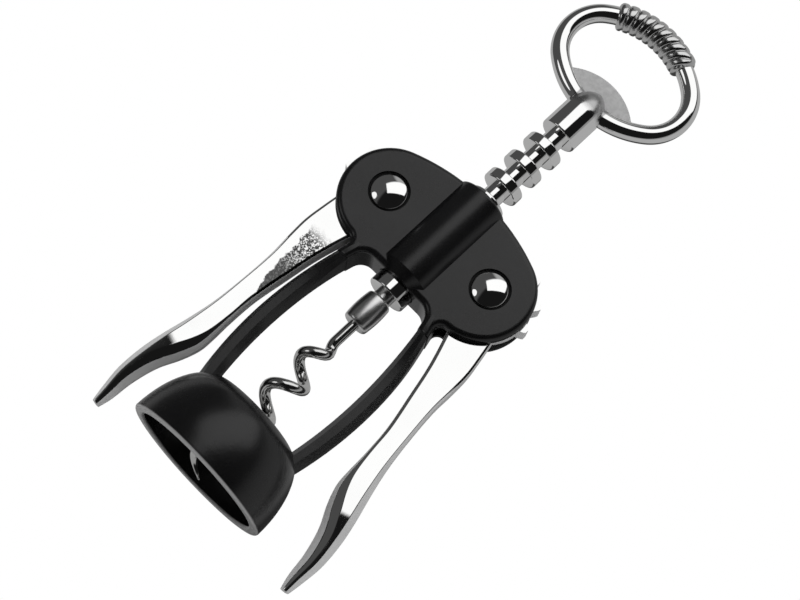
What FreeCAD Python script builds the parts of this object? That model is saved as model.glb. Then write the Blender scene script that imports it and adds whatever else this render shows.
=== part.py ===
import FreeCAD, Part
import math
import os

# Wing corkscrew, in millimetres.
# The origin is the centre of the bell's mouth, +Z runs up the worm to the handle,
# +X points to the right lever and -Y is the front face.

V = FreeCAD.Vector

# Bell, which sits on the bottle's neck
bell_outer_radius = 21.0
bell_wall = 3.0
bell_height = 19.4
bell_lip_height = 1.0
bell_shoulder_depth = 9.6
bell_rim_round = 0.7
bell_guide_radius = 7.0

# Legs, two bowed bars from the bell to the cheeks
leg_width = 4.7
leg_head_width = 3.4
leg_thickness = 7.8
leg_middle_x = 16.5
leg_middle_below_arch = 28.8
leg_bow_radius = 108.0
leg_corner_width = 1.36
leg_corner_depth = 2.26
leg_head_corner_depth = 1.5
leg_head_corner_width = 1.1
leg_foot_depth = 4.5

# Cheeks, the two lobed plates that carry the levers
cheek_half_depth = 5.9
cheek_edge_round = 1.5
cheek_crown_rise = 15.9
cheek_crown_radius = 56.0
cheek_crown_beyond_pivot = 3.3
lobe_radius = 13.7
arch_drop = 14.4
arch_radius = 3.8
armpit_radius = 2.0

# Barrel, the tube that guides the rack between the cheeks
barrel_radius = 7.5
barrel_reach = 9.6
barrel_top_rise = 15.9
barrel_top_round = 0.8
barrel_foot_chamfer = 2.5

# Rack, a bar with rings all round, so it meshes however the screw is turned
rack_ring_radius = 5.3
rack_neck_radius = 2.8
rack_ring_height = 3.0
rack_pitch = 6.99
rack_first_ring_z = 117.22
rack_ring_chamfer = 0.45
rack_end_below_arch = 3.6
rack_end_radius = 5.43
rack_running_gap = 0.2

# Handle
collar_radius = 5.25
collar_z = 124.4
collar_shoulder_z = 133.0
collar_tip_z = 140.9
collar_chamfer = 0.5
ring_centre_z = 149.75
ring_half_width = 19.0
ring_half_height = 14.05
ring_side_radius = 11.2
ring_tube_radius = 2.45
grip_radius = 3.7
grip_right_angle = 67.0
grip_left_angle = 122.7
lip_half_width = 10.6
lip_end_z = 140.4
lip_crown_z = 144.4
lip_thickness = 2.4

# Spindle, the rod from the handle through the rack into the ferrule
spindle_radius = 1.6
spindle_gap = 0.05
spindle_grip_depth = 6.0
fit_gap = 0.02

# Ferrule, the sleeve that holds the worm
ferrule_radius = 3.75
ferrule_end_radius = 3.4
ferrule_length = 9.1
ferrule_neck_radius = 2.6
ferrule_neck_length = 1.7
ferrule_edge_round = 0.7

# Worm
wire_radius = 1.42
worm_radius = 3.4
worm_pitch = 11.5
worm_first_left_below_ferrule = 14.5
worm_tip_z = -0.3
worm_lead_turns = 0.75
worm_point_turns = 0.375
worm_tip_radius = 0.2
worm_shank_grip = 4.5

# Levers, two castings of one shape
pivot_x = 17.4
pivot_z = 81.2
lever_half_thickness = 2.9
lever_side_gap = 0.2
left_rest_angle = 6.65
right_rest_angle = 11.1
arm_below_mouth = 6.4
gear_pitch_line_x = 4.5635
gear_tooth_count = 8
gear_tip_gap = 1.3
gear_root_gap = 0.35
gear_tip_half_width = 0.9
gear_root_half_width = 1.5
gear_tip_round = 0.5
gear_half_thickness = 2.8
slot_gap = 1.15
slot_leg_gap = 0.1

# Pivot pins with dome heads, and their rear caps
pin_radius = 2.5
pin_running_gap = 0.05
pin_tail_radius = 1.8
dome_radius = 4.65
dome_height = 1.5
dome_rim_height = 0.6
recess_radius = 5.3
recess_depth = 0.9
cap_wall = 0.8

# Worked out from the sizes above
bore_radius = max(rack_ring_radius, rack_end_radius) + rack_running_gap
slot_half_width = lever_half_thickness + lever_side_gap
gear_tip_radius = pivot_x - rack_neck_radius - gear_tip_gap
gear_root_radius = pivot_x - max(rack_ring_radius, rack_end_radius) - gear_root_gap
slot_radius = gear_tip_radius + slot_gap
gear_pitch_radius = pivot_x - gear_pitch_line_x
gear_step_angle = math.degrees(rack_pitch / gear_pitch_radius)
top_groove_z = rack_first_ring_z - (rack_pitch - rack_ring_height) / 2
gear_mesh_z = top_groove_z - rack_pitch * round((top_groove_z - pivot_z) / rack_pitch)
rest_angle_mean = (left_rest_angle + right_rest_angle) / 2
cheek_crown_z = pivot_z + cheek_crown_rise
cheek_crown_end_x = pivot_x + cheek_crown_beyond_pivot
arch_z = pivot_z - arch_drop
leg_middle_z = arch_z - leg_middle_below_arch
neck_foot_z = arch_z - arch_radius - 1.2
barrel_top_z = pivot_z + barrel_top_rise
rack_end_z = arch_z - rack_end_below_arch
rack_ring_count = int((rack_first_ring_z - rack_end_z) / rack_pitch)
ferrule_top_z = rack_end_z - ferrule_neck_length
ferrule_foot_z = ferrule_top_z - ferrule_length
worm_first_left_z = ferrule_foot_z - worm_first_left_below_ferrule
leg_foot_z = bell_height - leg_foot_depth

# The lever's arm, hanging straight down from its pivot: distance below the pivot on an arm of
# the drawn length, inner and outer edge, inner and outer border of the flat face, and the share
# of the lever's thickness
arm_drawn_length = 87.6
arm_stations = [
    (6.0, -3.80, 7.55, -2.90, 6.20, 1.00),
    (15.0, -2.80, 7.60, -2.00, 6.20, 1.00),
    (20.0, -2.15, 7.45, -1.30, 6.00, 1.00),
    (25.0, -1.70, 6.70, -0.85, 5.25, 1.00),
    (32.0, -1.50, 5.40, -0.70, 4.10, 1.00),
    (42.0, -1.35, 4.55, -0.60, 3.30, 1.00),
    (50.0, -2.15, 4.30, -1.30, 3.15, 1.00),
    (56.0, -3.10, 4.55, -2.00, 3.30, 1.00),
    (60.0, -3.50, 4.85, -1.80, 3.50, 1.00),
    (65.0, -2.75, 5.25, -0.30, 3.50, 0.97),
    (71.0, -1.05, 5.40, 0.90, 3.20, 0.88),
    (78.0, -0.40, 4.75, 1.10, 3.00, 0.76),
    (84.0, -0.65, 3.07, 0.60, 2.00, 0.62),
    (87.6, -0.35, 1.86, 0.40, 1.35, 0.42),
]
arm_side_share = 0.38


def line(a, b):
    return Part.LineSegment(a, b).toShape()


def arc(a, b, c):
    return Part.Arc(a, b, c).toShape()


def xz(x, z, y=0.0):
    return V(x, y, z)


def face_of(edges):
    return Part.Face(Part.Wire(Part.__sortEdges__(edges)))


def turned(edges):
    """Solid of revolution about the Z axis from a closed half profile in the XZ plane."""
    return face_of(edges).revolve(V(0, 0, 0), V(0, 0, 1), 360)


def rod(radius, z_low, z_high, x=0.0, y=0.0):
    return Part.makeCylinder(radius, z_high - z_low, V(x, y, z_low))


def polygon(points):
    closed = points + [points[0]]
    return [line(closed[i], closed[i + 1]) for i in range(len(points))]


def shoulder_points(outer, top, depth, lip, steps):
    """Quarter ellipse from the side of the bell (first) to its flat top (last)."""
    centre = outer - depth
    points = []
    for i in range(steps + 1):
        turn = math.radians(90.0 * i / steps)
        points.append(xz(centre + depth * math.cos(turn), lip + (top - lip) * math.sin(turn)))
    return points


def spline_through(points, start_tangent, end_tangent):
    curve = Part.BSplineCurve()
    curve.interpolate(Points=points, InitialTangent=start_tangent, FinalTangent=end_tangent)
    return curve.toShape()


def make_bell():
    """Open dome with a flat rim, and a guide hole for the worm in its top."""
    outer = shoulder_points(bell_outer_radius, bell_height, bell_shoulder_depth, bell_lip_height, 6)
    inner_radius = bell_outer_radius - bell_wall
    inner_top = bell_height - bell_wall
    inner = shoulder_points(inner_radius, inner_top, bell_shoulder_depth, bell_lip_height, 6)
    up = V(0, 0, 1)
    inward = V(-1, 0, 0)
    profile = [
        line(xz(inner_radius, 0), xz(bell_outer_radius, 0)),
        line(xz(bell_outer_radius, 0), outer[0]),
        spline_through(outer, up, inward),
        line(outer[-1], xz(bell_guide_radius, bell_height)),
        line(xz(bell_guide_radius, bell_height), xz(bell_guide_radius, inner_top)),
        line(xz(bell_guide_radius, inner_top), inner[-1]),
        spline_through(inner, up, inward),
        line(inner[0], xz(inner_radius, 0)),
    ]
    bell = turned(profile)
    rims = []
    for edge in bell.Edges:
        box = edge.BoundBox
        if box.ZMax < 0.01 and box.ZLength < 0.01 and edge.Length > 3 * bell_outer_radius:
            rims.append(edge)
    return bell.makeFillet(bell_rim_round, rims)


def leg_section(z, head_share):
    """Eight-sided section of a leg at a height, square to the leg's bowed centre line."""
    def blend(along_bow, at_head):
        return along_bow + head_share * (at_head - along_bow)

    turn = math.asin((z - leg_middle_z) / leg_bow_radius)
    centre_x = leg_middle_x - leg_bow_radius * (1 - math.cos(turn))
    half_w = blend(leg_width, leg_head_width) / 2
    half_t = blend(leg_thickness, 2 * cheek_half_depth - 0.1) / 2
    flat_w = half_w - blend(leg_corner_width, leg_head_corner_width)
    side_t = half_t - blend(leg_corner_depth, leg_head_corner_depth)
    outline = [
        (half_w, -side_t), (half_w, side_t), (flat_w, half_t), (-flat_w, half_t),
        (-half_w, side_t), (-half_w, -side_t), (-flat_w, -half_t), (flat_w, -half_t),
    ]
    points = []
    for across, deep in outline:
        points.append(V(centre_x + across * math.cos(turn), deep, z + across * -math.sin(turn)))
    return Part.Wire(polygon(points))


def make_leg():
    """Right leg: slim along the bow, as deep as the cheeks at its head."""
    rise = arch_z - leg_middle_z
    sections = [leg_section(z, 0.0) for z in (leg_foot_z, (leg_foot_z + leg_middle_z) / 2, leg_middle_z)]
    for along, head_share in ((0.4, 0.15), (0.6, 0.45), (0.8, 0.95), (1.0, 1.0)):
        sections.append(leg_section(leg_middle_z + along * rise, head_share))
    return Part.makeLoft(sections, True, False)


def lobe_centre():
    """Centre of the lobe's arc, which runs on from the crown's arc without a corner."""
    crown_centre_z = cheek_crown_z - cheek_crown_radius
    rise = math.sqrt(cheek_crown_radius ** 2 - cheek_crown_end_x ** 2)
    share = (cheek_crown_radius - lobe_radius) / cheek_crown_radius
    return xz(cheek_crown_end_x * share, crown_centre_z + rise * share)


def leg_edge_point(z, side):
    """Point on a leg's edge near its head: side 1 is the outer edge, side -1 the inner one."""
    edge_radius = leg_bow_radius + side * leg_head_width / 2
    rise = z - leg_middle_z
    return xz(leg_middle_x - leg_bow_radius + math.sqrt(edge_radius ** 2 - rise ** 2), z)


def circles_meet(first, first_radius, second, second_radius):
    """Where two circles in the XZ plane meet, on the right of the line between their centres."""
    span = second - first
    apart = span.Length
    along = (first_radius ** 2 - second_radius ** 2 + apart ** 2) / (2 * apart)
    off = math.sqrt(first_radius ** 2 - along ** 2)
    return first + span * (along / apart) + V(span.z, 0, -span.x) * (off / apart)


def between(first, second, share):
    return first + (second - first) * share


def arc_round(centre, radius, start, end):
    """Short arc about a centre from one point to another."""
    middle = centre + ((start - centre) + (end - centre)).normalize() * radius
    return arc(start, middle, end)


def cheek_outline():
    """Closed outline of both cheeks in the XZ plane, at y = 0; every curve runs on smoothly."""
    crown_centre = xz(0, cheek_crown_z - cheek_crown_radius)
    crown_rise = math.sqrt(cheek_crown_radius ** 2 - cheek_crown_end_x ** 2)
    crown_end = crown_centre + xz(cheek_crown_end_x, crown_rise)
    lobe = lobe_centre()
    bow_centre = xz(leg_middle_x - leg_bow_radius, leg_middle_z)
    outer_radius = leg_bow_radius + leg_head_width / 2
    inner_radius = leg_bow_radius - leg_head_width / 2
    pit = circles_meet(bow_centre, outer_radius + armpit_radius, lobe, lobe_radius + armpit_radius)
    pit_start = between(lobe, pit, lobe_radius / (lobe_radius + armpit_radius))
    pit_end = between(pit, bow_centre, armpit_radius / (outer_radius + armpit_radius))
    arch_rise = arch_z - arch_radius - leg_middle_z
    arch_reach = math.sqrt((inner_radius - arch_radius) ** 2 - arch_rise ** 2)
    arch_centre = bow_centre + xz(arch_reach, arch_rise)
    arch_side = between(bow_centre, arch_centre, inner_radius / (inner_radius - arch_radius))
    arch_top = arch_centre + xz(0, arch_radius)
    outer_foot = leg_edge_point(neck_foot_z, 1)
    inner_foot = leg_edge_point(neck_foot_z, -1)
    right = [
        arc_round(crown_centre, cheek_crown_radius, xz(0, cheek_crown_z), crown_end),
        arc(crown_end, lobe + xz(lobe_radius, 0), pit_start),
        arc_round(pit, armpit_radius, pit_start, pit_end),
        arc_round(bow_centre, outer_radius, pit_end, outer_foot),
        line(outer_foot, inner_foot),
        arc_round(bow_centre, inner_radius, inner_foot, arch_side),
        arc_round(arch_centre, arch_radius, arch_side, arch_top),
        line(arch_top, xz(0, arch_z)),
    ]
    left = [edge.mirror(V(0, 0, 0), V(1, 0, 0)) for edge in right]
    return right + left


def make_cheeks():
    """Both cheeks as one block with rounded borders; the slots are cut later."""
    block = face_of(cheek_outline()).extrude(V(0, 2 * cheek_half_depth, 0))
    block.translate(V(0, -cheek_half_depth, 0))
    borders = []
    for edge in block.Edges:
        box = edge.BoundBox
        on_face = box.YLength < 0.01
        at_foot = box.ZMax < neck_foot_z + 0.01
        if on_face and not at_foot:
            borders.append(edge)
    return block.makeFillet(cheek_edge_round, borders)


def make_barrel():
    """Tube that stands out in front and behind: two rounds and the block between them."""
    shift = barrel_reach - barrel_radius
    height = barrel_top_z - arch_z
    block = Part.makeBox(2 * barrel_radius, 2 * shift, height, V(-barrel_radius, -shift, arch_z))
    rounds = [rod(barrel_radius, arch_z, barrel_top_z, 0, y) for y in (-shift, shift)]
    barrel = block.fuse(rounds).removeSplitter()
    foot = [e for e in barrel.Edges if e.BoundBox.ZMax < arch_z + 0.01]
    barrel = barrel.makeChamfer(barrel_foot_chamfer, foot)
    top = [e for e in barrel.Edges if e.BoundBox.ZMin > barrel_top_z - 0.01]
    return barrel.makeFillet(barrel_top_round, top)


def slot_tool():
    """Right slot, where the gear turns and the arm swings out."""
    near_side = V(pivot_x, -slot_half_width, pivot_z)
    disc = Part.makeCylinder(slot_radius, 2 * slot_half_width, near_side, V(0, 1, 0))
    low_z = neck_foot_z - 4
    reach_x = 3 * pivot_x
    mouth = Part.Face(Part.Wire(polygon([
        leg_edge_point(low_z, 1) + V(slot_leg_gap, -slot_half_width, 0),
        xz(reach_x, low_z, -slot_half_width),
        xz(reach_x, cheek_crown_z + 5, -slot_half_width),
        xz(pivot_x, cheek_crown_z + 5, -slot_half_width),
        xz(pivot_x, pivot_z, -slot_half_width),
        leg_edge_point(arch_z, 1) + V(slot_leg_gap, -slot_half_width, 0),
    ]))).extrude(V(0, 2 * slot_half_width, 0))
    return disc.fuse(mouth)


def pivot_tool():
    """Pin hole through both cheeks and the two recesses for the domes."""
    hole = Part.makeCylinder(pin_radius + fit_gap, 4 * cheek_half_depth,
                             V(pivot_x, -2 * cheek_half_depth, pivot_z), V(0, 1, 0))
    reach = 3.0
    floor_y = cheek_half_depth - recess_depth
    front = Part.makeCylinder(recess_radius, reach, V(pivot_x, -floor_y, pivot_z), V(0, -1, 0))
    rear = Part.makeCylinder(recess_radius, reach, V(pivot_x, floor_y, pivot_z), V(0, 1, 0))
    return hole.fuse([front, rear])


def make_frame_casting():
    leg = make_leg()
    body = make_cheeks().fuse([make_barrel(), leg, mirrored(leg), make_bell()])
    bore = rod(bore_radius, arch_z - 5, barrel_top_z + 5)
    cuts = [bore]
    for tool in (slot_tool(), pivot_tool()):
        cuts += [tool, mirrored(tool)]
    inner_radius = bell_outer_radius - bell_wall
    hollow = shoulder_points(inner_radius, bell_height - bell_wall, bell_shoulder_depth,
                             bell_lip_height, 6)
    cavity = turned([
        line(xz(0, 0), xz(inner_radius, 0)),
        line(xz(inner_radius, 0), hollow[0]),
        spline_through(hollow, V(0, 0, 1), V(-1, 0, 0)),
        line(hollow[-1], xz(0, bell_height - bell_wall)),
        line(xz(0, bell_height - bell_wall), xz(0, 0)),
    ])
    cuts.append(cavity)
    return body.cut(cuts).removeSplitter()


def mirrored(shape):
    return shape.mirror(V(0, 0, 0), V(1, 0, 0))


def arm_section(drawn_down, inner, outer, face_inner, face_outer, share):
    down = drawn_down * (pivot_z + arm_below_mouth) / arm_drawn_length
    half = lever_half_thickness * share
    side = half * arm_side_share
    outline = [
        (outer, -side), (outer, side), (face_outer, half), (face_inner, half),
        (inner, side), (inner, -side), (face_inner, -half), (face_outer, -half),
    ]
    return Part.Wire(polygon([V(x, y, -down) for x, y in outline]))


def gear_tooth(angle):
    """One tooth, a rounded-off wedge from inside the root circle to the tip circle."""
    foot = gear_root_radius - 1.5
    flank_end = gear_tip_radius - gear_tip_round
    crest = gear_tip_half_width - gear_tip_round * 0.8
    outline = [
        (foot, -gear_root_half_width), (gear_root_radius, -gear_root_half_width),
        (flank_end, -gear_tip_half_width), (gear_tip_radius, -crest),
        (gear_tip_radius, crest), (flank_end, gear_tip_half_width),
        (gear_root_radius, gear_root_half_width), (foot, gear_root_half_width),
    ]
    points = [V(out, -gear_half_thickness, across) for out, across in outline]
    tooth = Part.Face(Part.Wire(polygon(points))).extrude(V(0, 2 * gear_half_thickness, 0))
    tooth.rotate(V(0, 0, 0), V(0, -1, 0), angle)
    return tooth


def make_lever():
    """Right lever about its own pivot, arm straight down."""
    arm = Part.makeLoft([arm_section(*station) for station in arm_stations], True, False)
    disc = Part.makeCylinder(gear_root_radius, 2 * gear_half_thickness,
                             V(0, -gear_half_thickness, 0), V(0, 1, 0))
    mesh_angle = 180.0 + math.degrees((pivot_z - gear_mesh_z) / gear_pitch_radius) - rest_angle_mean
    teeth = []
    for i in range(gear_tooth_count):
        teeth.append(gear_tooth(mesh_angle + gear_step_angle * (1 - i)))
    lever = disc.fuse([arm] + teeth)
    eye = Part.makeCylinder(pin_radius + pin_running_gap, 4 * lever_half_thickness,
                            V(0, -2 * lever_half_thickness, 0), V(0, 1, 0))
    return lever.cut(eye).removeSplitter()


def place_lever(lever, rest_angle):
    placed = lever.copy()
    placed.rotate(V(0, 0, 0), V(0, -1, 0), rest_angle)
    placed.translate(V(pivot_x, 0, pivot_z))
    return placed


def dome(base_y, direction):
    """Low dome on a short rim, facing -Y (direction -1) or +Y (direction 1)."""
    sphere_radius = (dome_radius ** 2 + dome_height ** 2) / (2 * dome_height)
    rim = Part.makeCylinder(dome_radius, dome_rim_height, V(0, base_y, 0), V(0, direction, 0))
    start = base_y + direction * dome_rim_height
    centre_y = start - direction * (sphere_radius - dome_height)
    ball = Part.makeSphere(sphere_radius, V(0, centre_y, 0))
    keep = Part.makeCylinder(dome_radius, dome_height + 1, V(0, start, 0), V(0, direction, 0))
    return rim.fuse(ball.common(keep)).removeSplitter()


def make_pivot_pin():
    floor_y = cheek_half_depth - recess_depth
    head = dome(-floor_y, -1)
    shank = Part.makeCylinder(pin_radius, 2 * floor_y, V(0, -floor_y, 0), V(0, 1, 0))
    tail_reach = dome_rim_height + dome_height - cap_wall
    tail = Part.makeCylinder(pin_tail_radius, tail_reach, V(0, floor_y, 0), V(0, 1, 0))
    return head.fuse([shank, tail]).removeSplitter()


def make_pivot_cap():
    floor_y = cheek_half_depth - recess_depth
    tail_reach = dome_rim_height + dome_height - cap_wall
    cap = dome(floor_y, 1)
    socket = Part.makeCylinder(pin_tail_radius + fit_gap, tail_reach + fit_gap, V(0, floor_y, 0), V(0, 1, 0))
    return cap.cut(socket)


def at_both_pivots(shape):
    right = shape.copy()
    right.translate(V(pivot_x, 0, pivot_z))
    left = shape.copy()
    left.translate(V(-pivot_x, 0, pivot_z))
    return Part.makeCompound([left, right])


def ring_solid(z_low, height, radius=rack_ring_radius):
    ring = rod(radius, z_low, z_low + height)
    return ring.makeChamfer(rack_ring_chamfer, [e for e in ring.Edges if e.BoundBox.ZLength < 0.01])


def make_rack():
    last_ring_z = rack_first_ring_z - rack_ring_count * rack_pitch
    end_ring_height = last_ring_z + rack_ring_height - rack_end_z
    bar = rod(rack_neck_radius, rack_end_z, collar_z)
    rings = [ring_solid(rack_first_ring_z - i * rack_pitch, rack_ring_height)
             for i in range(rack_ring_count)]
    rings.append(ring_solid(rack_end_z, end_ring_height, rack_end_radius))
    bore = rod(spindle_radius + spindle_gap, rack_end_z - 1, collar_z + 1)
    return bar.fuse(rings).cut(bore).removeSplitter()


def make_spindle():
    low = ferrule_top_z - spindle_grip_depth / 2
    return rod(spindle_radius, low, collar_z + spindle_grip_depth)


def ring_arc(centre_x, centre_z, radius, tube, start, sweep):
    """Piece of round tube along an arc in the XZ plane; angles run from +X towards +Z."""
    turn = math.radians(start)
    at = V(centre_x + radius * math.cos(turn), 0, centre_z + radius * math.sin(turn))
    along = V(-math.sin(turn), 0, math.cos(turn))
    disc = Part.Face(Part.Wire(Part.makeCircle(tube, at, along)))
    return disc.revolve(V(centre_x, 0, centre_z), V(0, -1, 0), sweep)


def ring_arcs():
    """Centres, radii and spans of the oval's four arcs."""
    a = ring_half_width
    b = ring_half_height
    flat_radius = (a * a + b * b - 2 * a * ring_side_radius) / (2 * (b - ring_side_radius))
    side_x = a - ring_side_radius
    drop = flat_radius - b
    corner = math.degrees(math.atan2(drop, side_x))
    return flat_radius, side_x, drop, corner


def make_handle():
    flat_radius, side_x, drop, corner = ring_arcs()
    z = ring_centre_z
    tube = ring_tube_radius
    pieces = [
        ring_arc(side_x, z, ring_side_radius, tube, -corner, 2 * corner),
        ring_arc(0, z - drop, flat_radius, tube, corner, 180 - 2 * corner),
        ring_arc(-side_x, z, ring_side_radius, tube, 180 - corner, 2 * corner),
        ring_arc(0, z + drop, flat_radius, tube, 180 + corner, 180 - 2 * corner),
    ]
    grip = ring_arc(0, z - drop, flat_radius, grip_radius, grip_right_angle,
                    grip_left_angle - grip_right_angle)
    lip_top = arc(xz(-lip_half_width, lip_end_z), xz(0, lip_crown_z), xz(lip_half_width, lip_end_z))
    sunk = ring_centre_z - ring_half_height
    lip = face_of([
        lip_top,
        line(xz(lip_half_width, lip_end_z), xz(lip_half_width * 0.8, sunk + 1.4)),
        line(xz(lip_half_width * 0.8, sunk + 1.4), xz(0, sunk)),
        line(xz(0, sunk), xz(-lip_half_width * 0.8, sunk + 1.4)),
        line(xz(-lip_half_width * 0.8, sunk + 1.4), xz(-lip_half_width, lip_end_z)),
    ]).extrude(V(0, lip_thickness, 0))
    lip.translate(V(0, -lip_thickness / 2, 0))
    return pieces[0].fuse(pieces[1:] + [grip, lip, make_collar()]).cut(collar_socket()).removeSplitter()


def make_collar():
    """Round collar with a chamfered foot and a pointed dome that runs into the ring."""
    rise = collar_tip_z - collar_shoulder_z
    back = (rise ** 2 - collar_radius ** 2) / (2 * collar_radius)
    dome_arc_radius = collar_radius + back
    half_turn = 0.5 * math.atan2(rise, back)
    middle = xz(dome_arc_radius * math.cos(half_turn) - back,
                collar_shoulder_z + dome_arc_radius * math.sin(half_turn))
    collar = turned([
        line(xz(0, collar_z), xz(collar_radius - collar_chamfer, collar_z)),
        line(xz(collar_radius - collar_chamfer, collar_z), xz(collar_radius, collar_z + collar_chamfer)),
        line(xz(collar_radius, collar_z + collar_chamfer), xz(collar_radius, collar_shoulder_z)),
        arc(xz(collar_radius, collar_shoulder_z), middle, xz(0, collar_tip_z)),
        line(xz(0, collar_tip_z), xz(0, collar_z)),
    ])
    return collar


def collar_socket():
    return rod(spindle_radius + fit_gap, collar_z - 1, collar_z + spindle_grip_depth + fit_gap)


def make_ferrule():
    """Barrel-shaped sleeve with a short neck up to the rack."""
    middle_z = (ferrule_top_z + ferrule_foot_z) / 2
    sleeve = turned([
        line(xz(0, ferrule_foot_z), xz(ferrule_end_radius, ferrule_foot_z)),
        arc(xz(ferrule_end_radius, ferrule_foot_z), xz(ferrule_radius, middle_z),
            xz(ferrule_end_radius, ferrule_top_z)),
        line(xz(ferrule_end_radius, ferrule_top_z), xz(0, ferrule_top_z)),
        line(xz(0, ferrule_top_z), xz(0, ferrule_foot_z)),
    ])
    ends = [e for e in sleeve.Edges if e.BoundBox.ZLength < 0.01 and e.Length > 3 * ferrule_end_radius]
    sleeve = sleeve.makeFillet(ferrule_edge_round, ends)
    neck = rod(ferrule_neck_radius, ferrule_top_z - 1, rack_end_z)
    socket = rod(spindle_radius + fit_gap, ferrule_top_z - spindle_grip_depth / 2 - fit_gap, rack_end_z + 1)
    shank_hole = rod(wire_radius + fit_gap, ferrule_foot_z - 1, ferrule_foot_z + worm_shank_grip + fit_gap)
    return sleeve.fuse(neck).cut([socket, shank_hole]).removeSplitter()


def worm_point(turns):
    """Point of the worm's centre line, counted in turns down from where it leaves the axis."""
    top_z = worm_first_left_z + worm_pitch * worm_lead_turns
    share = min(1.0, turns / worm_lead_turns)
    radius = worm_radius * share * share * (3 - 2 * share)
    turn = math.radians(90 - 360 * turns)
    return V(radius * math.cos(turn), radius * math.sin(turn), top_z - worm_pitch * turns)


def worm_tangent(turns):
    step = 0.0005
    ahead = worm_point(turns + step) - worm_point(max(0.0, turns - step))
    return ahead.normalize()


def arc_from_tangent(start, tangent, end):
    """Arc that leaves start along tangent and ends at end."""
    chord = end - start
    half = chord.Length / 2
    middle = start + chord * 0.5
    along = V(chord).normalize()
    outward = tangent - along * tangent.dot(along)
    if outward.Length < 1e-7:
        return line(start, end)
    outward.normalize()
    lean = math.acos(max(-1.0, min(1.0, tangent.dot(along))))
    return arc(start, middle + outward * (half * math.tan(lean / 2)), end)


def biarc(start, start_tangent, end, end_tangent):
    """Two arcs that join two points with the given directions at both ends."""
    span = end - start
    both = start_tangent + end_tangent
    turned_by = 2 * (1 - start_tangent.dot(end_tangent))
    reach = span.dot(both)
    if turned_by < 1e-9:
        return [line(start, end)]
    pull = (-reach + math.sqrt(reach ** 2 + turned_by * span.dot(span))) / turned_by
    joint = (start + start_tangent * pull + end - end_tangent * pull) * 0.5
    first = arc_from_tangent(start, start_tangent, joint)
    second = arc_from_tangent(end, end_tangent * -1, joint)
    return [first, second]


def worm_turns():
    top_z = worm_first_left_z + worm_pitch * worm_lead_turns
    return (top_z - worm_tip_z) / worm_pitch


def worm_arcs(first, last, step):
    """Biarcs along the worm from one turn count to another."""
    count = max(1, round((last - first) / step))
    edges = []
    for i in range(count):
        a = first + (last - first) * i / count
        b = first + (last - first) * (i + 1) / count
        edges += biarc(worm_point(a), worm_tangent(a), worm_point(b), worm_tangent(b))
    return edges


def make_worm():
    """Straight shank, then turns of one size, then a point drawn out along the helix."""
    total = worm_turns()
    full = total - worm_point_turns
    shank_top = V(0, 0, ferrule_foot_z + worm_shank_grip)
    down = V(0, 0, -1)
    path = [line(shank_top, worm_point(0))] + worm_arcs(0, full, 0.25)
    circle = Part.Wire(Part.makeCircle(wire_radius, shank_top, down))
    body = Part.Wire(path).makePipeShell([circle], True, False)
    tip_path = Part.Wire(worm_arcs(full, total, 0.125))
    wide = Part.Wire(Part.makeCircle(wire_radius, worm_point(full), worm_tangent(full)))
    narrow = Part.Wire(Part.makeCircle(worm_tip_radius, worm_point(total), worm_tangent(total)))
    tip = tip_path.makePipeShell([wide, narrow], True, False)
    worm = body.fuse(tip).removeSplitter()
    return worm


def least_worm_gap():
    """Least gap from the worm's wire to itself, one turn on, measured on its centre line."""
    total = worm_turns()
    steps = 400
    points = [worm_point(total * i / steps) for i in range(steps + 1)]
    apart = int(steps * 0.5 / total)
    least = 1e9
    for i in range(len(points)):
        for j in range(i + apart, len(points)):
            least = min(least, (points[i] - points[j]).Length)
    return least - 2 * wire_radius


def save(name, shape):
    shape.exportStep("parts/" + name + ".step")
    print(name, "solids", len(shape.Solids), "volume", round(shape.Volume, 1), "valid", shape.isValid())


def main():
    os.makedirs("parts", exist_ok=True)
    save("frame_casting", make_frame_casting())
    lever = make_lever()
    save("lever_right", place_lever(lever, right_rest_angle))
    save("lever_left", mirrored(place_lever(lever, left_rest_angle)))
    save("pivot_pins", at_both_pivots(make_pivot_pin()))
    save("pivot_caps", at_both_pivots(make_pivot_cap()))
    save("rack", make_rack())
    save("spindle", make_spindle())
    save("handle", make_handle())
    save("ferrule", make_ferrule())
    save("worm", make_worm())
    print("worm turns", round(worm_turns(), 2), "least gap to itself", round(least_worm_gap(), 2), "mm")


main()
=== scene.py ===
# %% [markdown]
# # A wing corkscrew
# A wing corkscrew is a black die-cast frame with a bell at its foot, two polished levers that
# turn on pins between its cheeks, and a ringed rack with a handle on top and a worm below.
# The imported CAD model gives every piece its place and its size. This script gives the same
# pieces their finished surfaces, in metres and in the model's own frame: the origin is the
# centre of the bell's mouth, Z points up to the handle and Y to the back.

import math

import bmesh
import bpy
from mathutils import Matrix, Vector


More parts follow.
